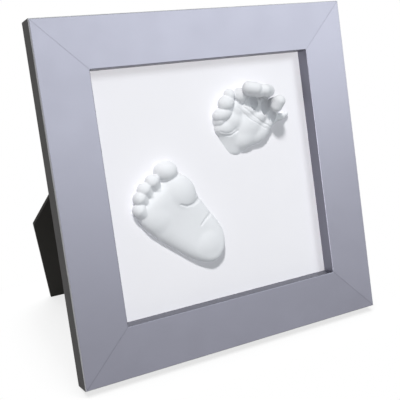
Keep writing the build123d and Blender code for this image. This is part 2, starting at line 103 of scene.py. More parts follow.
# The card is a leaning box, so its thickness follows from the box's depth
card_low, card_high = (Vector(corner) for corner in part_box("backing_card"))
card_side = card_high.x - card_low.x
card_thickness = ((card_high.y - card_low.y) - card_side * sin(LEAN)) / cos(LEAN)
CARD = leaning_plane(node_middle("backing_card") + FRONT * card_thickness / 2)

# The rails' measures: half the frame's side, half the opening's side and the depth of the well
FRAME_REACH = (cad_high.x - cad_low.x) / 2
OPENING_REACH = -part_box("left_rail")[1][0]
to_card = CARD.inverted()
WELL_DEPTH = max((to_card @ vertex.co).z for vertex in frame["nodes"]["left_rail"].data.vertices)


class CastFrameFinish(bpy.types.PropertyGroup):
    """Colours and gloss of the frame's finishes."""

    silver: FloatVectorProperty(
        name="Silver lacquer",
        description="Face and inner walls of the rails",
        subtype="COLOR",
        default=(0.208, 0.207, 0.249),
    )
    silver_roughness: FloatProperty(
        name="Silver roughness",
        description="How far the satin lacquer blurs what it reflects",
        default=0.46,
        min=0.0,
        max=1.0,
        subtype="FACTOR",
    )
    # Partly rubbed paint and partly a painted highlight on the rounded outer arris
    worn_and_highlight: FloatVectorProperty(
        name="Worn edges",
        description="Rubbed paint along the rails' outer edges",
        subtype="COLOR",
        default=(0.76, 0.76, 0.78),
    )
    side: FloatVectorProperty(
        name="Rail sides",
        description="Charcoal lacquer of the outer sides and backs of the rails",
        subtype="COLOR",
        default=(0.034, 0.031, 0.030),
    )
    card: FloatVectorProperty(
        name="Card",
        description="White card at the bottom of the well",
        subtype="COLOR",
        default=(0.84, 0.828, 0.855),
    )
    plaster: FloatVectorProperty(
        name="Plaster",
        description="Matt white of the casts",
        subtype="COLOR",
        default=(0.76, 0.765, 0.785),
    )
    board: FloatVectorProperty(
        name="Dark board",
        description="Paper skin of the back panel and strut",
        subtype="COLOR",
        default=(0.074, 0.070, 0.063),
    )
    steel: FloatVectorProperty(
        name="Hinge steel",
        description="Hinge leaves, pin and rivets",
        subtype="COLOR",
        default=(0.42, 0.42, 0.43),
    )
    zinc: FloatVectorProperty(
        name="Zinc plate",
        description="Turn buttons, screws, hanger and nails",
        subtype="COLOR",
        default=(0.62, 0.62, 0.60),
    )
    adhesive: FloatVectorProperty(
        name="Sticky pads",
        description="Soft discs under the casts",
        subtype="COLOR",
        default=(0.72, 0.72, 0.68),
    )


class CastFrameCasts(bpy.types.PropertyGroup):
    """How finely the plaster casts are modelled."""

    voxel: FloatProperty(
        name="Grain",
        description="Size of the cells that melt the rounded forms together",
        default=0.00042,
        unit="LENGTH",
        precision=5,
    )
    body_rounds: IntProperty(
        name="Body softening",
        description="Rounds of smoothing on the sole and the palm",
        default=24,
        min=0,
    )
    detail_rounds: IntProperty(
        name="Detail softening",
        description="Rounds of smoothing once the toes, fingers and pads are melted on",
        default=5,
        min=0,
    )


class CastFrameStage(bpy.types.PropertyGroup):
    """Camera, lamps and floor."""

    camera_place: FloatVectorProperty(
        name="Camera",
        description="Place of the camera",
        subtype="TRANSLATION",
        unit="LENGTH",
        default=(-0.2475, -0.4662, 0.2986),
    )
    camera_yaw: FloatProperty(
        name="Yaw",
        description="How far the view turns to the right of the frame's depth direction",
        subtype="ANGLE",
        default=radians(28.07),
    )
    camera_pitch: FloatProperty(
        name="Pitch",
        description="How far the view looks down",
        subtype="ANGLE",
        default=radians(20.03),
    )
    lens: FloatProperty(
        name="Lens",
        description="Focal length in millimetres",
        default=64.04,
    )
    shift_x: FloatProperty(
        name="Shift across",
        description="Sideways shift of the picture",
        default=0.0035,
    )
    shift_y: FloatProperty(
        name="Shift up",
        description="Upward shift of the picture",
        default=-0.0327,
    )
    card_key_power: FloatProperty(
        name="Key on the card",
        description="Power of the lamp that throws the casts' shadows",
        unit="POWER",
        default=146.0,
    )
    cast_key_power: FloatProperty(
        name="Key on the casts",
        description="Power of the lamp that shapes the casts",
        unit="POWER",
        default=102.0,
    )
    front_power: FloatProperty(
        name="Front",
        description="Power of the lamp that softens the casts",
        unit="POWER",
        default=26.0,
    )
    box_power: FloatProperty(
        name="Soft box",
        description="Power of the wide lamp on all but the card and the casts",
        unit="POWER",
        default=26.7,
    )
    fill_power: FloatProperty(
        name="Fill",
        description="Power of the lamp that shades the well",
        unit="POWER",
        default=9.5,
    )
    side_power: FloatProperty(
        name="Side",
        description="Power of the lamp on the right inner wall",
        unit="POWER",
        default=20.0,
    )
    floor_power: FloatProperty(
        name="Overhead",
        description="Power of the lamp on the floor",
        unit="POWER",
        default=50.0,
    )
    box_colour: FloatVectorProperty(
        name="Soft box colour",
        description="Tint of the wide lamp on all but the card and the casts",
        subtype="COLOR",
        default=(0.95, 1.0, 0.985),
    )
    key_colour: FloatVectorProperty(
        name="Key colour",
        description="Tint of the key on the casts",
        subtype="COLOR",
        default=(1.0, 0.985, 0.97),
    )
    soft_colour: FloatVectorProperty(
        name="Soft colour",
        description="Tint of the front and fill lamps",
        subtype="COLOR",
        default=(0.90, 0.96, 1.0),
    )
    ambient: FloatProperty(
        name="Ambient",
        description="Light from all round",
        default=0.16,
    )
    ambient_colour: FloatVectorProperty(
        name="Ambient colour",
        description="Tint of the light from all round",
        subtype="COLOR",
        default=(0.93, 0.98, 1.0),
    )
    floor_white: FloatProperty(
        name="Floor white",
        description="Share of the floor that is plain white, the rest takes light and shadow",
        subtype="FACTOR",
        default=0.76,
        min=0.0,
        max=1.0,
    )


# Small helpers for node trees
def empty_material(name):
    """Material with only an output in its node tree."""
    material = bpy.data.materials.new(name)
    material.use_nodes = True
    tree = material.node_tree
    tree.nodes.clear()
    return material, tree, tree.nodes.new("ShaderNodeOutputMaterial")


def new_material(name):
    """Material with a principled shader on its output."""
    material, tree, output = empty_material(name)
    shader = tree.nodes.new("ShaderNodeBsdfPrincipled")
    tree.links.new(shader.outputs["BSDF"], output.inputs["Surface"])
    return material, tree, shader


def object_coordinates(tree, location=(0, 0, 0), rotation=(0, 0, 0), scale=(1, 1, 1)):
    """Object coordinates through a mapping."""
    coordinates = tree.nodes.new("ShaderNodeTexCoord")
    mapping = tree.nodes.new("ShaderNodeMapping")
    mapping.inputs["Location"].default_value = location
    mapping.inputs["Rotation"].default_value = rotation
    mapping.inputs["Scale"].default_value = scale
    tree.links.new(coordinates.outputs["Object"], mapping.inputs["Vector"])
    return mapping.outputs["Vector"]


def noise(tree, vector, scale, detail=2.0, roughness=0.5):
    """Noise value from 0 to 1."""
    texture = tree.nodes.new("ShaderNodeTexNoise")
    texture.inputs["Scale"].default_value = scale
    texture.inputs["Detail"].default_value = detail
    texture.inputs["Roughness"].default_value = roughness
    tree.links.new(vector, texture.inputs["Vector"])
    return texture.outputs["Fac"]


def math_node(tree, operation, first, second=0.0):
    """One arithmetic step on links or numbers."""
    node = tree.nodes.new("ShaderNodeMath")
    node.operation = operation
    for socket, value in zip(node.inputs, (first, second)):
        if isinstance(value, (int, float)):
            socket.default_value = value
        else:
            tree.links.new(value, socket)
    return node.outputs["Value"]


def map_range(tree, value, from_low, from_high, to_low=0.0, to_high=1.0):
    """Value carried from one range to another and held at its ends."""
    node = tree.nodes.new("ShaderNodeMapRange")
    node.inputs["From Min"].default_value = from_low
    node.inputs["From Max"].default_value = from_high
    node.inputs["To Min"].default_value = to_low
    node.inputs["To Max"].default_value = to_high
    tree.links.new(value, node.inputs["Value"])
    return node.outputs["Result"]


def mix_colours(tree, factor, first, second):
    """Blend of two colours or links by a factor."""
    node = tree.nodes.new("ShaderNodeMix")
    node.data_type = "RGBA"
    tree.links.new(factor, node.inputs["Factor"])
    for socket, value in zip((node.inputs[6], node.inputs[7]), (first, second)):
        if hasattr(value, "links"):
            tree.links.new(value, socket)
        else:
            socket.default_value = (*value, 1.0)
    return node.outputs[2]


def bump(tree, shader, height, distance, strength=1.0):
    """Bump from a height link."""
    node = tree.nodes.new("ShaderNodeBump")
    node.inputs["Distance"].default_value = distance
    node.inputs["Strength"].default_value = strength
    tree.links.new(height, node.inputs["Height"])
    tree.links.new(node.outputs["Normal"], shader.inputs["Normal"])


def shade(colour, factor):
    """A colour made lighter or darker."""
    return tuple(channel * factor for channel in colour)


def clouded(tree, cloud, colour, darkest, lightest):
    """A colour that a cloud link makes darker and lighter."""
    return mix_colours(tree, cloud, shade(colour, darkest), shade(colour, lightest))


def clouded_roughness(tree, shader, cloud, low, high):
    """Roughness that follows a cloud link."""
    tree.links.new(map_range(tree, cloud, *CLOUD_SPAN, low, high), shader.inputs["Roughness"])


def band(tree, value, edge, limits, rising=True):
    """Rises from 0 to 1, or falls from 1 to 0, between two limits in millimetres from an edge."""
    start, end = (edge + limit * MM for limit in limits)
    first, last = (0.0, 1.0) if rising else (1.0, 0.0)
    return map_range(tree, value, start, end, first, last)


def stretched(tree, vector, factors):
    """A vector link with each of its numbers multiplied."""
    node = tree.nodes.new("ShaderNodeVectorMath")
    node.operation = "MULTIPLY"
    node.inputs[1].default_value = factors
    tree.links.new(vector, node.inputs[0])
    return node.outputs["Vector"]


def leaning_coordinates(tree):
    """Object coordinates turned upright with the frame: x right, y up the frame, z out of its front."""
    origin = leaning_plane(Vector((0, 0, 0))).inverted() @ CARD.translation
    return object_coordinates(tree, location=-origin, rotation=(LEAN - radians(90), 0, 0))


def split_axes(tree, vector):
    """The three numbers of a vector link."""
    node = tree.nodes.new("ShaderNodeSeparateXYZ")
    tree.links.new(vector, node.inputs["Vector"])
    return node.outputs["X"], node.outputs["Y"], node.outputs["Z"]


# Scales of the finishes' noise, in repeats per metre
SILVER_CLOUDS = 45.0
SILVER_FLAKES = 5200.0
SILVER_GRAIN = 900.0
RUBBED_HIGHLIGHT_PATCHES = 60.0
CARD_FIBRE = 1500.0
CARD_CLOUDS = 25.0
PLASTER_CLOUDS = 90.0
PLASTER_POWDER = 2600.0
PLASTER_PORES = 420.0
PORE_PATCHES = 160.0
BOARD_FIBRE = 1400.0
BOARD_CLOUDS = 35.0
METAL_CLOUDS = 180.0
STEEL_GRAIN = 1600.0
ZINC_GRAIN = 2200.0
ADHESIVE_CLOUDS = 300.0

# The part of a cloud's values that sets the roughness
CLOUD_SPAN = (0.2, 0.8)

# Brushing and rolling draw the grain out by shrinking its coordinates along one or two axes
BRUSHING = 0.12
ROLLING = 0.15

# Where each part of the rails' finish starts and ends, in millimetres from the edge that it follows
OUTER_SIDE = (-0.30, -0.10)
BELOW_FACE = (-1.10, -0.80)
BELOW_CARD = (-1.00, -0.60)
# Band along the inner edge where the silver gets painted shade
INNER_EDGE = (0.30, 0.70)
# Band along each mitre where the silver gets painted shade
MITRE = (0.38, 0.46)
MITRE_DEPTH = (-0.70, -0.50)
# Band along the outer rim that gets rubbed paint and a painted highlight
RIM = (-0.70, -0.25)

# Painted shade on the silver of the inner edges and walls and along the mitres, as a share of the face's
# tone
INNER_PAINTED_SHADE = 0.82
MITRE_PAINTED_SHADE = 0.90

# The silver's share of metal, the spread of its roughness and what brushing and flakes give to its grain
SILVER_METAL = 0.92
SILVER_SPREAD = 0.03
BRUSHED_SHARE = 0.6
FLAKED_SHARE = 0.4

# Gloss of the silver and of the charcoal
SILVER_GLOSS = 0.5
CHARCOAL_GLOSS = 0.08

# The part of the patches' values over which the rim gets rubbed paint and a painted highlight, and how much
# of both it gets at least
RUBBED_HIGHLIGHT_SPAN = (0.35, 0.60)
LEAST_RUBBED_HIGHLIGHT = 0.55

# Plaster: where a pore fades out from its middle, which patches have pores, the painted shade in them and
# the part that powder has in the grain
PORE_SPAN = (0.02, 0.09)
PORE_PATCH_SPAN = (0.62, 0.70)
PORE_PAINTED_SHADE = 0.72
POWDER_SHARE = 0.35


# Finishes
def fill_seam(tree, shader, seam):
    """Shades the bevel of a mitre as if lacquer filled it flush with the face."""
    flush = tree.nodes.new("ShaderNodeVectorTransform")
    flush.vector_type = "NORMAL"
    flush.convert_from = "OBJECT"
    flush.convert_to = "WORLD"
    flush.inputs["Vector"].default_value = FRONT
    mix = tree.nodes.new("ShaderNodeMix")
    mix.data_type = "VECTOR"
    tree.links.new(seam, mix.inputs["Factor"])
    tree.links.new(shader.inputs["Normal"].links[0].from_socket, mix.inputs[4])
    tree.links.new(flush.outputs["Vector"], mix.inputs[5])
    tree.links.new(mix.outputs[1], shader.inputs["Normal"])


def silver_lacquer(finish, along_x):
    """Satin silver lacquer on the face and inner walls, charcoal on the outer sides and back."""
    material, tree, shader = new_material("silver_lacquer_across" if along_x else "silver_lacquer_upright")
    vector = leaning_coordinates(tree)
    x, y, z = split_axes(tree, vector)
    across = math_node(tree, "ABSOLUTE", x)
    upright = math_node(tree, "ABSOLUTE", y)
    reach = math_node(tree, "MAXIMUM", across, upright)
    off_mitre = math_node(tree, "ABSOLUTE", math_node(tree, "SUBTRACT", across, upright))

    outer = band(tree, reach, FRAME_REACH, OUTER_SIDE)
    low = band(tree, z, WELL_DEPTH, BELOW_FACE, rising=False)
    back = band(tree, z, 0.0, BELOW_CARD, rising=False)
    dark = math_node(tree, "MAXIMUM", math_node(tree, "MULTIPLY", outer, low), back)
    inner = band(tree, reach, OPENING_REACH, INNER_EDGE, rising=False)
    on_mitre = band(tree, off_mitre, 0.0, MITRE, rising=False)
    seam = math_node(tree, "MULTIPLY", on_mitre, band(tree, z, WELL_DEPTH, MITRE_DEPTH))
    rubbed_highlight = map_range(tree, noise(tree, vector, RUBBED_HIGHLIGHT_PATCHES), *RUBBED_HIGHLIGHT_SPAN, LEAST_RUBBED_HIGHLIGHT, 1.0)
    # The outer rim is lightened: rubbed paint in patches and a painted highlight on its arris
    worn_and_highlight = math_node(tree, "MULTIPLY", band(tree, reach, FRAME_REACH, RIM), rubbed_highlight)

    cloud = noise(tree, vector, SILVER_CLOUDS, detail=3.0)
    silver = clouded(tree, cloud, finish.silver, darkest=0.96, lightest=1.04)
    # Painted shade: the silver is darkened on the inner edges and walls
    silver = mix_colours(tree, inner, silver, shade(finish.silver, INNER_PAINTED_SHADE))
    # A painted shade line along each mitre, whose bevel is shaded flush with the face
    silver = mix_colours(tree, seam, silver, shade(finish.silver, MITRE_PAINTED_SHADE))
    # Rubbed paint and painted highlight on the rim
    silver = mix_colours(tree, worn_and_highlight, silver, finish.worn_and_highlight)
    tree.links.new(mix_colours(tree, dark, silver, finish.side), shader.inputs["Base Color"])
    bare = math_node(tree, "MAXIMUM", dark, worn_and_highlight)
    tree.links.new(map_range(tree, bare, 0.0, 1.0, SILVER_METAL, 0.0), shader.inputs["Metallic"])
    gloss = map_range(tree, dark, 0.0, 1.0, SILVER_GLOSS, CHARCOAL_GLOSS)
    tree.links.new(gloss, shader.inputs["Specular IOR Level"])
    roughness = finish.silver_roughness
    clouded_roughness(tree, shader, cloud, roughness - SILVER_SPREAD, roughness + SILVER_SPREAD)

    brushing = (BRUSHING, 1.0, 1.0) if along_x else (1.0, BRUSHING, 1.0)
    grain = noise(tree, stretched(tree, vector, brushing), SILVER_GRAIN, detail=3.0, roughness=0.6)
    brushed = math_node(tree, "MULTIPLY", grain, BRUSHED_SHARE)
    flaked = math_node(tree, "MULTIPLY", noise(tree, vector, SILVER_FLAKES), FLAKED_SHARE)
    bump(tree, shader, math_node(tree, "ADD", brushed, flaked), distance=0.02 * MM, strength=0.5)
    fill_seam(tree, shader, seam)
    return material


def white_card(finish):
    """Smooth white card with a faint fibre."""
    material, tree, shader = new_material("white_card")
    vector = leaning_coordinates(tree)
    fibre = noise(tree, vector, CARD_FIBRE, detail=4.0, roughness=0.7)
    colour = clouded(tree, noise(tree, vector, CARD_CLOUDS), finish.card, darkest=0.985, lightest=1.015)
    tree.links.new(colour, shader.inputs["Base Color"])
    shader.inputs["Roughness"].default_value = 0.78
    bump(tree, shader, fibre, distance=0.02 * MM, strength=0.5)
    return material


def cast_plaster(finish):
    """Matt plaster with a powdery grain, pores and faint clouds."""
    material, tree, shader = new_material("cast_plaster")
    vector = object_coordinates(tree)
    cloud = noise(tree, vector, PLASTER_CLOUDS, detail=3.0)
    powder = noise(tree, vector, PLASTER_POWDER, detail=3.0, roughness=0.65)
    colour = clouded(tree, cloud, finish.plaster, darkest=0.965, lightest=1.02)
    pores = tree.nodes.new("ShaderNodeTexVoronoi")
    pores.inputs["Scale"].default_value = PLASTER_PORES
    tree.links.new(vector, pores.inputs["Vector"])
    pit = map_range(tree, pores.outputs["Distance"], *PORE_SPAN, 1.0, 0.0)
    rare = map_range(tree, noise(tree, vector, PORE_PATCHES, detail=1.0), *PORE_PATCH_SPAN)
    pit = math_node(tree, "MULTIPLY", pit, rare)
    # Pores are painted darker: painted shade in the pits
    colour = mix_colours(tree, pit, colour, shade(finish.plaster, PORE_PAINTED_SHADE))
    tree.links.new(colour, shader.inputs["Base Color"])
    shader.inputs["Roughness"].default_value = 0.86
    shader.inputs["Specular IOR Level"].default_value = 0.30
    height = math_node(tree, "SUBTRACT", math_node(tree, "MULTIPLY", powder, POWDER_SHARE), pit)
    bump(tree, shader, height, distance=0.06 * MM, strength=0.55)
    return material


def dark_board(finish, name):
    """Board with a near-black paper skin, faintly clouded and fibrous."""
    material, tree, shader = new_material(name)
    vector = object_coordinates(tree)
    fibre = noise(tree, vector, BOARD_FIBRE, detail=4.0, roughness=0.7)
    cloud = noise(tree, vector, BOARD_CLOUDS, detail=3.0)
    skin = clouded(tree, cloud, finish.board, darkest=0.85, lightest=1.25)
    tree.links.new(skin, shader.inputs["Base Color"])
    clouded_roughness(tree, shader, cloud, 0.58, 0.70)
    shader.inputs["Specular IOR Level"].default_value = 0.15
    bump(tree, shader, fibre, distance=0.05 * MM, strength=0.6)
    return material


def plated_metal(colour, name, roughness, grain_scale):
    """Thin plated steel with rolling marks and a mottled sheen."""
    material, tree, shader = new_material(name)
    streaks = object_coordinates(tree, scale=(1.0, ROLLING, ROLLING))
    cloud = noise(tree, object_coordinates(tree), METAL_CLOUDS, detail=3.0)
    grain = noise(tree, streaks, grain_scale, detail=3.0, roughness=0.6)
    tint = clouded(tree, cloud, colour, darkest=0.85, lightest=1.10)
    tree.links.new(tint, shader.inputs["Base Color"])
    shader.inputs["Metallic"].default_value = 1.0
    clouded_roughness(tree, shader, cloud, roughness - 0.06, roughness + 0.08)
    bump(tree, shader, grain, distance=0.02 * MM, strength=0.4)
    return material


def soft_adhesive(finish):
    """Cloudy rubbery pad."""
    material, tree, shader = new_material("soft_adhesive")
    cloud = noise(tree, object_coordinates(tree), ADHESIVE_CLOUDS, detail=3.0)
    colour = clouded(tree, cloud, finish.adhesive, darkest=0.9, lightest=1.0)
    tree.links.new(colour, shader.inputs["Base Color"])
    shader.inputs["Roughness"].default_value = 0.45
    bump(tree, shader, cloud, distance=0.03 * MM, strength=0.4)
    return material


def paint_node(node, material):
    """Gives a CAD node one material."""
    slots = frame["nodes"][node].data.materials
    slots.clear()
    slots.append(material)


# Places of the casts, in millimetres right and up from the middle of the card, and the foot's heading.
# The tables below are in millimetres on each cast's own plane: along its heading, to the left and out.
FOOT_HEEL = (-8.0, -60.0)
FOOT_HEADING = radians(123.7)
HAND_WRIST = (17.0, 17.0)

# Thickness of the sticky pads and the gap between a cast's back and the card
PAD_THICKNESS = 0.4
CARD_CLEARANCE = 0.05

# In millimetres: how exact the cut along the card is, how close vertices of a copied mesh are merged and
# how far past its middle a sphere's far half starts
CUT_PRECISION = 0.0001
MERGE_DISTANCE = 0.001
FAR_HALF = 0.0001

# How finely the starting forms are divided
LIMB_SEGMENTS = 32
LIMB_RINGS = 24
PAD_SEGMENTS = 48
PAD_RINGS = 32
SHOULDER_SEGMENTS = 12

# The sole and the palm are melted in cells this many times the grain, and each round softens by a share
BODY_COARSENESS = 2
SOFTENING = 0.5

# Skin lines are pressed in bands that narrow to the line's middle and are smoothed out to their border,
# both in shares of the line's half width, where the cast is higher than the floor in millimetres
LINE_BANDS = (1.0, 0.75, 0.5, 0.25)
LINE_BORDER = 1.6
LINE_FLOOR = 2.0
LINE_SOFTENING = 0.4
LINE_ROUNDS = 2

# Faces that meet at less than this angle are shaded smoothly
SMOOTH_ANGLE = radians(50)

# The sole's cross sections: distance from the heel, left edge, right edge and height
SOLE_STATIONS = (
    (2.0, 1.0, -5.0, 4.6),
    (3.5, 4.6, -9.0, 6.4),
    (6.5, 8.2, -13.0, 7.4),
    (11.0, 11.2, -16.8, 7.6),
    (17.0, 14.2, -19.2, 7.6),
    (25.0, 17.2, -20.2, 7.5),
    (35.0, 20.4, -19.8, 7.5),
    (46.0, 24.0, -20.5, 7.8),
    (56.0, 26.0, -21.8, 8.5),
    (64.0, 26.6, -22.0, 8.9),
    (69.0, 24.5, -21.5, 8.4),
    (73.0, 20.0, -20.0, 5.8),
    (76.0, 14.5, -17.0, 3.6),
)

# Rounding of the sole's upper corners, as a share of the section's half width and height, and its profile
SOLE_SHOULDER = 0.60
SOLE_ROUNDNESS = 0.5

# The sole and the wrist start below the card, so that the cut along it leaves a clean edge
SLAB_SINK = 1.5

# Each pad has its middle, its half sizes along, across and out, and its heading in degrees
SOLE_PADS = {
    "heel": ((17.0, -2.5, 3.6), (13.5, 13.5, 5.2), 0.0),
    "inner_ball": ((60.0, -10.5, 4.0), (14.5, 12.5, 6.6), -6.0),
    "outer_ball": ((59.0, 13.0, 3.6), (15.0, 13.0, 5.6), 10.0),
}

# Each limb runs from one point to another, with its width at both ends
FOOT_LIMBS = {
    "second_toe": ((73.0, 0.4, 2.4), (80.0, 0.2, 4.4), 7.0, 11.4),
    "third_toe": ((73.0, 7.6, 2.4), (80.0, 8.5, 4.2), 7.0, 11.2),
    "fourth_toe": ((70.5, 13.6, 2.4), (77.6, 15.0, 4.2), 7.0, 11.2),
    "little_toe": ((65.5, 19.4, 3.0), (71.6, 20.8, 3.8), 8.5, 11.2),
}
FOOT_PADS = {
    "big_toe": ((78.4, -13.0, 2.6), (7.8, 9.1, 8.0), -42.0),
    "second_fold": ((72.8, 0.6, 3.9), (3.0, 2.6, 3.0), 0.0),
    "third_fold": ((72.6, 7.4, 3.8), (3.0, 2.5, 3.0), 0.0),
    "fourth_fold": ((69.8, 13.8, 3.8), (3.0, 2.4, 3.0), 0.0),
}

# Each line has its half width at both ends, its depth and its points
FOOT_LINES = {
    "ball_crease": (
        2.2,
        0.7,
        0.7,
        ((46.2, -22.0), (46.4, -18.0), (47.2, -12.1), (50.0, -6.8), (54.4, -3.8)),
    ),
    "arch_crease": (2.0, 0.7, 0.55, ((31.6, -21.0), (31.8, -18.0), (32.3, -12.4), (31.5, -6.3))),
}

# The wrist's place on the card and its cross sections, from the palm down to its end
WRIST_ROOT = (20.8, 33.0)
WRIST_HEADING = radians(-90)
WRIST_SHOULDER = 0.9
WRIST_ROUNDNESS = 0.3
WRIST_STATIONS = (
    (0.0, 12.0, -15.0, 5.4),
    (3.5, 12.4, -13.8, 4.8),
    (7.0, 12.6, -11.8, 3.8),
    (10.5, 12.0, -10.2, 2.8),
    (13.0, 10.4, -9.2, 2.0),
    (15.4, 8.0, -7.4, 1.2),
    (17.4, 5.0, -5.0, 0.2),
)
PALM_PADS = {
    "thumb_ball": ((-2.6, 20.8, -0.4), (10.2, 7.6, 7.0), 5.0),
    "heel_of_hand": ((13.4, 13.0, 0.0), (14.0, 10.0, 6.8), 30.0),
    "middle": ((17.0, 20.5, 0.0), (17.0, 12.5, 8.0), 35.0),
    "outer_edge": ((25.0, 13.2, 0.0), (13.0, 7.6, 6.6), 30.0),
    "thumb_web": ((6.5, 33.0, 0.0), (7.5, 9.0, 7.6), 15.0),
    "thumb_root": ((3.0, 25.0, 0.0), (11.0, 9.0, 7.4), 20.0),
    "index_mount": ((16.5, 31.0, 0.0), (7.5, 7.5, 9.0), 0.0),
    "middle_mount": ((26.0, 25.5, 0.0), (7.0, 7.0, 9.0), 0.0),
    "ring_mount": ((32.0, 18.6, 0.0), (6.0, 6.0, 7.0), 0.0),
    "index_bed": ((19.5, 38.0, 0.0), (8.0, 8.5, 8.4), 0.0),
    "middle_bed": ((30.0, 33.5, 0.0), (8.0, 9.0, 8.4), -10.0),
    "ring_bed": ((38.0, 25.0, 0.0), (7.4, 8.4, 6.2), -15.0),
}

# Hollows under the curled fingers
PALM_HOLLOWS = {
    "index": ((20.8, 36.6, 8.6), (4.3, 6.2, 8.0), 5.0),
    "middle": ((30.6, 32.4, 8.6), (4.3, 7.4, 8.0), -8.0),
    "ring": ((36.8, 24.6, 6.8), (4.0, 5.4, 6.6), -15.0),
}

HAND_LIMBS = {
    "index_knuckle": ((20.0, 45.8, 4.0), (14.2, 47.2, 13.6), 10.5, 10.2),
    "index_tip": ((14.2, 47.2, 13.6), (19.0, 46.0, 15.0), 10.2, 10.0),
    "middle_knuckle": ((33.2, 43.0, 4.0), (32.4, 43.4, 11.0), 10.5, 9.8),
    "middle_tip": ((32.4, 43.4, 11.0), (26.8, 44.2, 15.0), 9.8, 9.4),
    "ring_knuckle": ((39.5, 33.6, 4.0), (37.4, 34.8, 16.4), 9.6, 9.4),
    "ring_tip": ((37.4, 34.8, 16.4), (35.8, 31.0, 14.4), 9.4, 8.8),
    "little_bone": ((42.0, 22.6, 1.2), (46.4, 22.8, 1.8), 6.4, 5.8),
    "little_tip": ((46.4, 22.8, 1.8), (52.6, 24.6, 1.8), 5.8, 2.6),
}

HAND_PADS = {
    "tip_bridge": ((22.8, 44.4, 13.4), (8.5, 5.0, 5.4), 0.0),
    "thumb_base": ((-8.0, 26.0, 0.0), (5.0, 5.0, 6.4), 0.0),
    "thumb_bone": ((-5.5, 30.6, 3.2), (8.3, 5.6, 5.6), 12.0),
    "thumb_joint": ((-2.2, 38.4, 5.2), (7.0, 5.9, 5.2), 25.0),
    "thumb_tip": ((1.4, 44.0, 5.2), (4.3, 4.6, 4.2), 0.0),
    "index_side": ((10.4, 42.8, 4.4), (4.8, 6.0, 5.6), 0.0),
}

HAND_LINES = {
    "thumb_ball_outer": (1.1, 0.5, 0.6, ((-12.5, 18.0), (-8.9, 15.2), (-1.5, 14.0), (5.0, 17.0))),
    "thumb_ball_inner": (0.7, 0.4, 0.35, ((-9.5, 17.8), (-5.0, 16.2), (0.0, 16.6), (3.4, 19.2))),
    "palm_upper": (0.8, 0.6, 0.45, ((6.9, 39.1), (15.4, 29.6), (24.1, 21.9), (34.2, 16.0))),
    "palm_lower": (0.7, 0.5, 0.4, ((6.9, 34.0), (16.1, 23.6), (29.7, 15.3))),
}


def cast_plane(place, heading):
    """Plane of one cast on its sticky pads, in millimetres, with x along its heading."""
    origin = Matrix.Translation(Vector((place[0], place[1], PAD_THICKNESS)) * MM)
    return CARD @ origin @ Matrix.Rotation(heading, 4, "Z") @ Matrix.Scale(MM, 4)


def deselect_all():
    """Nothing selected and nothing active, in object mode."""
    if bpy.context.object and bpy.context.object.mode != "OBJECT":
        bpy.ops.object.mode_set(mode="OBJECT")
    bpy.ops.object.select_all(action="DESELECT")
    bpy.context.view_layer.objects.active = None


def select_only(*objects):
    """These objects selected, the first one active."""
    deselect_all()
    for piece in objects:
        piece.select_set(True)
    bpy.context.view_layer.objects.active = objects[0]


def edit_all(piece):
    """Edit mode on a piece with everything selected."""
    select_only(piece)
    bpy.ops.object.mode_set(mode="EDIT")
    bpy.ops.mesh.select_all(action="SELECT")


def select_vertices(piece, chosen):
    """Edit mode on a piece with the vertices of a true-or-false array selected."""
    select_only(piece)
    bpy.ops.object.mode_set(mode="EDIT")
    bpy.ops.mesh.select_mode(type="VERT")
    bpy.ops.mesh.select_all(action="DESELECT")
    bpy.ops.object.mode_set(mode="OBJECT")
    piece.data.vertices.foreach_set("select", chosen)
    bpy.ops.object.mode_set(mode="EDIT")


def vertex_places(piece):
    """Vertex coordinates as an array."""
    places = np.empty(3 * len(piece.data.vertices))
    piece.data.vertices.foreach_get("co", places)
    return places.reshape(-1, 3)


def add_limb(plane, start, end, start_width, end_width):
    """A sphere whose far half is drawn out to the limb's end."""
    tail = plane @ Vector(start)
    along = plane @ Vector(end) - tail
    deselect_all()
    radius = start_width / 2 * MM
    bpy.ops.mesh.primitive_uv_sphere_add(segments=LIMB_SEGMENTS, ring_count=LIMB_RINGS, radius=radius)
    limb = bpy.context.object
    select_vertices(limb, vertex_places(limb)[:, 2] > FAR_HALF * MM)
    ratio = end_width / start_width
    bpy.ops.transform.resize(value=(ratio, ratio, ratio), center_override=(0, 0, 0))
    bpy.ops.transform.translate(value=(0, 0, along.length))
    bpy.ops.object.mode_set(mode="OBJECT")
    limb.rotation_mode = "QUATERNION"
    limb.rotation_quaternion = along.to_track_quat("Z", "Y")
    limb.location = tail
    bpy.ops.object.transform_apply(location=True, rotation=True, scale=True)
    return limb


def add_pad(plane, middle, half_sizes, heading):
    """A sphere stretched to a pad's half sizes and turned to its heading."""
    deselect_all()
    bpy.ops.mesh.primitive_uv_sphere_add(segments=PAD_SEGMENTS, ring_count=PAD_RINGS, radius=1.0)
    pad = bpy.context.object
    pad.matrix_world = plane @ Matrix.LocRotScale(
        Vector(middle), Quaternion((0, 0, 1), radians(heading)), Vector(half_sizes)
    )
    bpy.ops.object.transform_apply(location=True, rotation=True, scale=True)
    return pad


def apply_modifiers(piece):
    """Applies every modifier in order."""
    select_only(piece)
    for modifier in list(piece.modifiers):
        bpy.ops.object.modifier_apply(modifier=modifier.name)


def melt(piece, voxel, rounds):
    """Melts overlapping closed forms into one skin and smooths it."""
    remesh = piece.modifiers.new("Melt", "REMESH")
    remesh.mode = "VOXEL"
    remesh.voxel_size = voxel
    smooth = piece.modifiers.new("Soften", "SMOOTH")
    smooth.factor = SOFTENING
    smooth.iterations = rounds
    apply_modifiers(piece)


def carve(piece, tool):
    """Cuts one closed form out of another and removes the tool."""
    cut = piece.modifiers.new("Carve", "BOOLEAN")
    cut.operation = "DIFFERENCE"
    cut.solver = "EXACT"
    cut.object = tool
    apply_modifiers(piece)
    bpy.data.objects.remove(tool)


def join_forms(forms, name):
    """Joins forms into the first one and names it."""
    select_only(*forms)
    bpy.ops.object.join()
    piece = bpy.context.object
    piece.name = name
    piece.data.name = name
    return piece


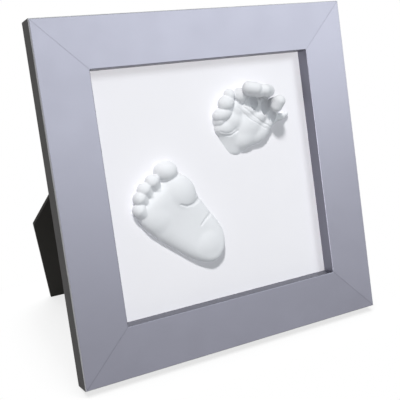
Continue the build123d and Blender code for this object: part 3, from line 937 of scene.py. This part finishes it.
def add_slab(plane, stations, shoulder, roundness):
    """Draws a section with rounded upper corners out from station to station."""
    deselect_all()
    bpy.ops.mesh.primitive_plane_add(size=2.0)
    slab = bpy.context.object
    select_vertices(slab, vertex_places(slab)[:, 1] < 0)
    bpy.ops.transform.translate(value=(0, 1.0, 0))
    bpy.ops.mesh.select_all(action="INVERT")
    bpy.ops.mesh.bevel(
        offset=shoulder, segments=SHOULDER_SEGMENTS, profile=roundness, affect="VERTICES"
    )
    bpy.ops.mesh.select_all(action="SELECT")
    last_along, last_middle, last_half, last_rise = 0.0, 0.0, 1.0, 1.0
    for index, (along, left, right, height) in enumerate(stations):
        middle = -(left + right) / 2
        half = (left - right) / 2
        step = (middle - last_middle, 0.0, along - last_along)
        if index:
            bpy.ops.mesh.extrude_region_move(TRANSFORM_OT_translate={"value": step})
        else:
            bpy.ops.transform.translate(value=step)
        rise = height + SLAB_SINK
        growth = (half / last_half, rise / last_rise, 1.0)
        bpy.ops.transform.resize(value=growth, center_override=(middle, 0, along))
        last_along, last_middle, last_half, last_rise = along, middle, half, rise
    bpy.ops.mesh.select_all(action="SELECT")
    bpy.ops.mesh.normals_make_consistent(inside=False)
    bpy.ops.object.mode_set(mode="OBJECT")
    sideways = Matrix(((0, 0, 1, 0), (-1, 0, 0, 0), (0, 1, 0, 0), (0, 0, 0, 1)))
    slab.matrix_world = plane @ Matrix.Translation((0, 0, -SLAB_SINK)) @ sideways
    bpy.ops.object.transform_apply(location=True, rotation=True, scale=True)
    return slab


def line_closeness(places, start_width, end_width, points):
    """How far each flat place lies from a line, in shares of the line's tapering half width."""
    points = np.array(points)
    lengths = np.linalg.norm(np.diff(points, axis=0), axis=1)
    travelled = np.concatenate(([0.0], np.cumsum(lengths))) / lengths.sum()
    closeness = np.full(len(places), np.inf)
    for start, end, begun, ended in zip(points, points[1:], travelled, travelled[1:]):
        along = end - start
        share = np.clip((places - start) @ along / (along @ along), 0.0, 1.0)
        distance = np.linalg.norm(places - start - share[:, None] * along, axis=1)
        width = start_width + (end_width - start_width) * (begun + share * (ended - begun))
        closeness = np.minimum(closeness, distance / width)
    return closeness


def press_lines(piece, plane, lines):
    """Presses skin lines into the front of a cast in narrowing bands."""
    inverse = np.array(plane.inverted())
    for start_width, end_width, depth, points in lines.values():
        places = vertex_places(piece) @ inverse[:3, :3].T + inverse[:3, 3]
        closeness = line_closeness(places[:, :2], start_width, end_width, points)
        facing = places[:, 2] > LINE_FLOOR
        for width in LINE_BANDS:
            select_vertices(piece, facing & (closeness < width))
            bpy.ops.transform.shrink_fatten(value=-depth * MM / len(LINE_BANDS))
            bpy.ops.object.mode_set(mode="OBJECT")
        select_vertices(piece, facing & (closeness < LINE_BORDER))
        bpy.ops.mesh.vertices_smooth(factor=LINE_SOFTENING, repeat=LINE_ROUNDS)
        bpy.ops.object.mode_set(mode="OBJECT")


def seat_on_pads(piece, node):
    """Hollows the back of a cast where its sticky pads lie."""
    pads = frame["nodes"][node].copy()
    pads.data = pads.data.copy()
    bpy.context.scene.collection.objects.link(pads)
    edit_all(pads)
    bpy.ops.mesh.remove_doubles(threshold=MERGE_DISTANCE * MM)
    bpy.ops.object.mode_set(mode="OBJECT")
    carve(piece, pads)


def finish_cast(piece, plane, lines, pads):
    """Presses in the skin lines, cuts the back flat on the card and seats it on the sticky pads."""
    press_lines(piece, plane, lines)
    edit_all(piece)
    rest = plane.translation - FRONT * (PAD_THICKNESS - CARD_CLEARANCE) * MM
    bpy.ops.mesh.bisect(
        plane_co=rest, plane_no=FRONT, use_fill=True, clear_inner=True, threshold=CUT_PRECISION * MM
    )
    bpy.ops.object.mode_set(mode="OBJECT")
    seat_on_pads(piece, pads)
    select_only(piece)
    bpy.ops.object.shade_smooth_by_angle(angle=SMOOTH_ANGLE)


class CASTFRAME_OT_rails(bpy.types.Operator):
    """Finishes the four rails in satin silver with charcoal sides"""

    bl_idname = "castframe.rails"
    bl_label = "Finish the rails"

    def execute(self, context):
        finish = context.scene.castframe_finish
        across = silver_lacquer(finish, True)
        upright = silver_lacquer(finish, False)
        for rail in RAILS:
            paint_node(rail, across if rail in ("top_rail", "bottom_rail") else upright)
        return {"FINISHED"}


class CASTFRAME_OT_card(bpy.types.Operator):
    """Finishes the white card and the sticky pads on it"""

    bl_idname = "castframe.card"
    bl_label = "Finish the card"

    def execute(self, context):
        finish = context.scene.castframe_finish
        paint_node("backing_card", white_card(finish))
        adhesive = soft_adhesive(finish)
        for pads in STICKY_PADS:
            paint_node(pads, adhesive)
        return {"FINISHED"}


class CASTFRAME_OT_boards(bpy.types.Operator):
    """Finishes the dark back panel and strut"""

    bl_idname = "castframe.boards"
    bl_label = "Finish the boards"

    def execute(self, context):
        finish = context.scene.castframe_finish
        paint_node("back_panel", dark_board(finish, "panel_board"))
        paint_node("easel_strut", dark_board(finish, "strut_board"))
        return {"FINISHED"}


class CASTFRAME_OT_hardware(bpy.types.Operator):
    """Finishes the hinge, rivets, turn buttons, screws, hanger and nails"""

    bl_idname = "castframe.hardware"
    bl_label = "Finish the hardware"

    def execute(self, context):
        finish = context.scene.castframe_finish
        steel = plated_metal(finish.steel, "hinge_steel", roughness=0.38, grain_scale=STEEL_GRAIN)
        zinc = plated_metal(finish.zinc, "zinc_plate", roughness=0.32, grain_scale=ZINC_GRAIN)
        for node in HINGE:
            paint_node(node, steel)
        for node in (*BUTTONS, *FASTENERS):
            paint_node(node, zinc)
        return {"FINISHED"}


class CASTFRAME_OT_foot(bpy.types.Operator):
    """Models the plaster foot, sole to the front"""

    bl_idname = "castframe.foot"
    bl_label = "Model the foot cast"

    def execute(self, context):
        scene = context.scene
        casts = scene.castframe_casts
        plane = cast_plane(FOOT_HEEL, FOOT_HEADING)
        swells = [add_pad(plane, *pad) for pad in SOLE_PADS.values()]
        slab = add_slab(plane, SOLE_STATIONS, SOLE_SHOULDER, SOLE_ROUNDNESS)
        sole = join_forms([slab] + swells, "sole")
        melt(sole, casts.voxel * BODY_COARSENESS, casts.body_rounds)
        forms = [add_limb(plane, *limb) for limb in FOOT_LIMBS.values()]
        forms += [add_pad(plane, *pad) for pad in FOOT_PADS.values()]
        foot = join_forms([sole] + forms, "plaster_foot")
        melt(foot, casts.voxel, casts.detail_rounds)
        finish_cast(foot, plane, FOOT_LINES, "foot_glue_pads")
        foot.data.materials.append(cast_plaster(scene.castframe_finish))
        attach(foot, "frame")
        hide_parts("foot_cast")
        return {"FINISHED"}


class CASTFRAME_OT_hand(bpy.types.Operator):
    """Models the plaster hand, palm to the front with curled fingers"""

    bl_idname = "castframe.hand"
    bl_label = "Model the hand cast"

    def execute(self, context):
        scene = context.scene
        casts = scene.castframe_casts
        plane = cast_plane(HAND_WRIST, 0.0)
        wrist_plane = cast_plane(WRIST_ROOT, WRIST_HEADING)
        wrist = add_slab(wrist_plane, WRIST_STATIONS, WRIST_SHOULDER, WRIST_ROUNDNESS)
        palm = join_forms([wrist] + [add_pad(plane, *pad) for pad in PALM_PADS.values()], "palm")
        melt(palm, casts.voxel * BODY_COARSENESS, casts.body_rounds)
        for hollow in PALM_HOLLOWS.values():
            carve(palm, add_pad(plane, *hollow))
        forms = [add_limb(plane, *limb) for limb in HAND_LIMBS.values()]
        forms += [add_pad(plane, *pad) for pad in HAND_PADS.values()]
        hand = join_forms([palm] + forms, "plaster_hand")
        melt(hand, casts.voxel, casts.detail_rounds)
        finish_cast(hand, plane, HAND_LINES, "hand_glue_pads")
        hand.data.materials.append(cast_plaster(scene.castframe_finish))
        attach(hand, "frame")
        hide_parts("hand_cast")
        return {"FINISHED"}


# The floor in metres: its side, how far it lies below the frame and how far past the frame's box its
# shadow fades out
FLOOR_SIDE = 8.0
FLOOR_DROP = 0.02 * MM
FLOOR_FADE = 0.03

# The floor's tone for the light that it throws back and where it is seen
FLOOR_BOUNCE = (0.25, 0.25, 0.25)
FLOOR_SEEN = (0.92, 0.92, 0.92)

# The key lamps stand this far off the card's normal, swung to the left of upright
KEY_RISE = radians(53)
KEY_SWING = radians(20)

# The nearest distance that the camera sees, in metres
NEAREST_SEEN = 0.01

# Distances, places and sizes of the lamps, in metres from the middle of the card
CARD_KEY_DISTANCE = 4.0
CAST_KEY_DISTANCE = 3.9
FRONT_PLACE = FRONT * 1.5 + UP * 0.2 + RIGHT * 0.2
FILL_PLACE = Vector((0.75, -1.05, 1.05))
BOX_PLACE = Vector((0.82, -1.02, 0.80))
SIDE_PLACE = Vector((-1.0, -0.5, 0.1))
OVERHEAD_PLACE = Vector((0.0, 0.1, 1.6))
KEY_SIZE = (0.4, 0.4)
FRONT_SIZE = (3.0, 3.0)
FILL_SIZE = (0.6, 0.6)
BOX_SIZE = (2.4, 1.0)
SIDE_SIZE = (0.4, 0.4)
OVERHEAD_SIZE = (2.0, 2.0)


def seen_directly(tree):
    """1 for rays from the camera and for reflections and refractions, 0 for diffuse light."""
    path = tree.nodes.new("ShaderNodeLightPath")
    glossy = path.outputs["Is Glossy Ray"]
    refracted = path.outputs["Is Transmission Ray"]
    mirrored = math_node(tree, "MAXIMUM", glossy, refracted)
    return math_node(tree, "MAXIMUM", path.outputs["Is Camera Ray"], mirrored)


def squared_beyond(tree, value, limit):
    """Square of how far a number lies beyond a limit on either side of zero."""
    past = math_node(tree, "SUBTRACT", math_node(tree, "ABSOLUTE", value), limit)
    past = math_node(tree, "MAXIMUM", past, 0.0)
    return math_node(tree, "MULTIPLY", past, past)


def floor_material(white):
    """White floor: part plain white, part lit, so that it keeps the frame's soft shadow."""
    material, tree, output = empty_material("pale_floor")
    lit = tree.nodes.new("ShaderNodeBsdfDiffuse")
    seen = seen_directly(tree)
    tree.links.new(mix_colours(tree, seen, FLOOR_BOUNCE, FLOOR_SEEN), lit.inputs["Color"])
    plain = tree.nodes.new("ShaderNodeEmission")
    plain.inputs["Strength"].default_value = 1.0
    mix = tree.nodes.new("ShaderNodeMixShader")
    x, y, _ = split_axes(tree, object_coordinates(tree))
    beyond_x = squared_beyond(tree, x, cad_high.x)
    beyond_y = squared_beyond(tree, y, cad_high.y)
    distance = math_node(tree, "SQRT", math_node(tree, "ADD", beyond_x, beyond_y))
    share = map_range(tree, distance, 0.0, FLOOR_FADE, white, 1.0)
    tree.links.new(math_node(tree, "MULTIPLY", seen, share), mix.inputs["Fac"])
    tree.links.new(lit.outputs["BSDF"], mix.inputs[1])
    tree.links.new(plain.outputs["Emission"], mix.inputs[2])
    tree.links.new(mix.outputs["Shader"], output.inputs["Surface"])
    return material


def area_lamp(name, offset, size, power):
    """Rectangular lamp set off from the middle of the card and turned to it."""
    data = bpy.data.lights.new(name, "AREA")
    data.shape = "RECTANGLE"
    data.size, data.size_y = size
    data.energy = power
    lamp = bpy.data.objects.new(name, data)
    bpy.context.scene.collection.objects.link(lamp)
    lamp.location = CARD.translation + offset
    lamp.rotation_euler = (-offset).to_track_quat("-Z", "Y").to_euler()
    return lamp


def lamp_group(name, objects):
    """Collection that tells a lamp which objects it works on."""
    group = bpy.data.collections.new(name)
    for item in objects:
        group.objects.link(item)
    return group


def link_lamp(lamp, receivers, blockers=()):
    """Lets a lamp light only its receivers and, where blockers are given, takes shadows only from those."""
    lamp.light_linking.receiver_collection = lamp_group(lamp.name + "_receivers", receivers)
    if blockers:
        lamp.light_linking.blocker_collection = lamp_group(lamp.name + "_shadows", blockers)


class CASTFRAME_OT_stage(bpy.types.Operator):
    """Sets up the floor, lamps, world and camera"""

    bl_idname = "castframe.stage"
    bl_label = "Set the stage"

    def execute(self, context):
        scene = context.scene
        stage = scene.castframe_stage
        deselect_all()
        bpy.ops.mesh.primitive_plane_add(size=FLOOR_SIDE, location=(0, 0, -FLOOR_DROP))
        floor = context.object
        floor.name = "floor"
        floor.data.materials.append(floor_material(stage.floor_white))

        world = bpy.data.worlds.new("studio")
        world.use_nodes = True
        scene.world = world
        tree = world.node_tree
        background = tree.nodes["Background"]
        seen = seen_directly(tree)
        tint = mix_colours(tree, seen, stage.ambient_colour, (1.0, 1.0, 1.0))
        tree.links.new(tint, background.inputs["Color"])
        strength = map_range(tree, seen, 0.0, 1.0, stage.ambient, 1.0)
        tree.links.new(strength, background.inputs["Strength"])

        sideways = UP * cos(KEY_SWING) - RIGHT * sin(KEY_SWING)
        towards = FRONT * cos(KEY_RISE) + sideways * sin(KEY_RISE)
        card_key = area_lamp("card_key", towards * CARD_KEY_DISTANCE, KEY_SIZE, stage.card_key_power)
        cast_key = area_lamp("cast_key", towards * CAST_KEY_DISTANCE, KEY_SIZE, stage.cast_key_power)
        front = area_lamp("front", FRONT_PLACE, FRONT_SIZE, stage.front_power)
        fill = area_lamp("fill", FILL_PLACE, FILL_SIZE, stage.fill_power)
        box = area_lamp("soft_box", BOX_PLACE, BOX_SIZE, stage.box_power)
        side = area_lamp("side", SIDE_PLACE, SIDE_SIZE, stage.side_power)
        overhead = area_lamp("overhead", OVERHEAD_PLACE, OVERHEAD_SIZE, stage.floor_power)
        cast_key.data.color = stage.key_colour
        front.data.color = stage.soft_colour
        fill.data.color = stage.soft_colour
        box.data.color = stage.box_colour

        casts = [bpy.data.objects[name] for name in ("plaster_foot", "plaster_hand")]
        card = [frame["nodes"]["backing_card"]]
        rails = [frame["nodes"][rail] for rail in RAILS]
        set_apart = (*casts, *card, floor)
        others = [item for item in scene.objects if item.type == "MESH" and item not in set_apart]
        link_lamp(card_key, card, casts)
        link_lamp(cast_key, casts, casts)
        link_lamp(front, casts, casts)
        link_lamp(fill, card, rails)
        link_lamp(box, others)
        link_lamp(side, [frame["nodes"]["right_rail"]])
        link_lamp(overhead, [floor])

        data = bpy.data.cameras.new("camera")
        camera = bpy.data.objects.new("camera", data)
        scene.collection.objects.link(camera)
        camera.location = stage.camera_place
        camera.rotation_euler = (radians(90) - stage.camera_pitch, 0, -stage.camera_yaw)
        data.lens = stage.lens
        data.shift_x = stage.shift_x
        data.shift_y = stage.shift_y
        data.clip_start = NEAREST_SEEN
        scene.camera = camera
        scene.view_settings.view_transform = "Standard"
        return {"FINISHED"}


class CASTFRAME_PT_sidebar(bpy.types.Panel):
    """Lists the steps that dress the frame"""

    bl_idname = "CASTFRAME_PT_sidebar"
    bl_label = "Cast frame"
    bl_space_type = "VIEW_3D"
    bl_region_type = "UI"
    bl_category = "Cast frame"

    def draw(self, context):
        for operator in OPERATORS:
            self.layout.operator(operator.bl_idname)
        for group in GROUPS:
            settings = getattr(context.scene, group)
            box = self.layout.box()
            for name in settings.__annotations__:
                box.prop(settings, name)


GROUPS = {
    "castframe_finish": CastFrameFinish,
    "castframe_casts": CastFrameCasts,
    "castframe_stage": CastFrameStage,
}
OPERATORS = (
    CASTFRAME_OT_rails,
    CASTFRAME_OT_card,
    CASTFRAME_OT_boards,
    CASTFRAME_OT_hardware,
    CASTFRAME_OT_foot,
    CASTFRAME_OT_hand,
    CASTFRAME_OT_stage,
)
CLASSES = (*GROUPS.values(), *OPERATORS, CASTFRAME_PT_sidebar)


def register():
    """Adds the classes and their settings on the scene."""
    for item in CLASSES:
        bpy.utils.register_class(item)
    for name, group in GROUPS.items():
        setattr(bpy.types.Scene, name, PointerProperty(type=group))


def unregister():
    """Takes the settings and the classes out again."""
    for name in GROUPS:
        delattr(bpy.types.Scene, name)
    for item in reversed(CLASSES):
        bpy.utils.unregister_class(item)


def main():
    """Dresses the frame step by step."""
    register()
    deselect_all()
    bpy.ops.castframe.rails()
    bpy.ops.castframe.card()
    bpy.ops.castframe.boards()
    bpy.ops.castframe.hardware()
    bpy.ops.castframe.foot()
    bpy.ops.castframe.hand()
    bpy.ops.castframe.stage()


if __name__ == "__main__":
    main()
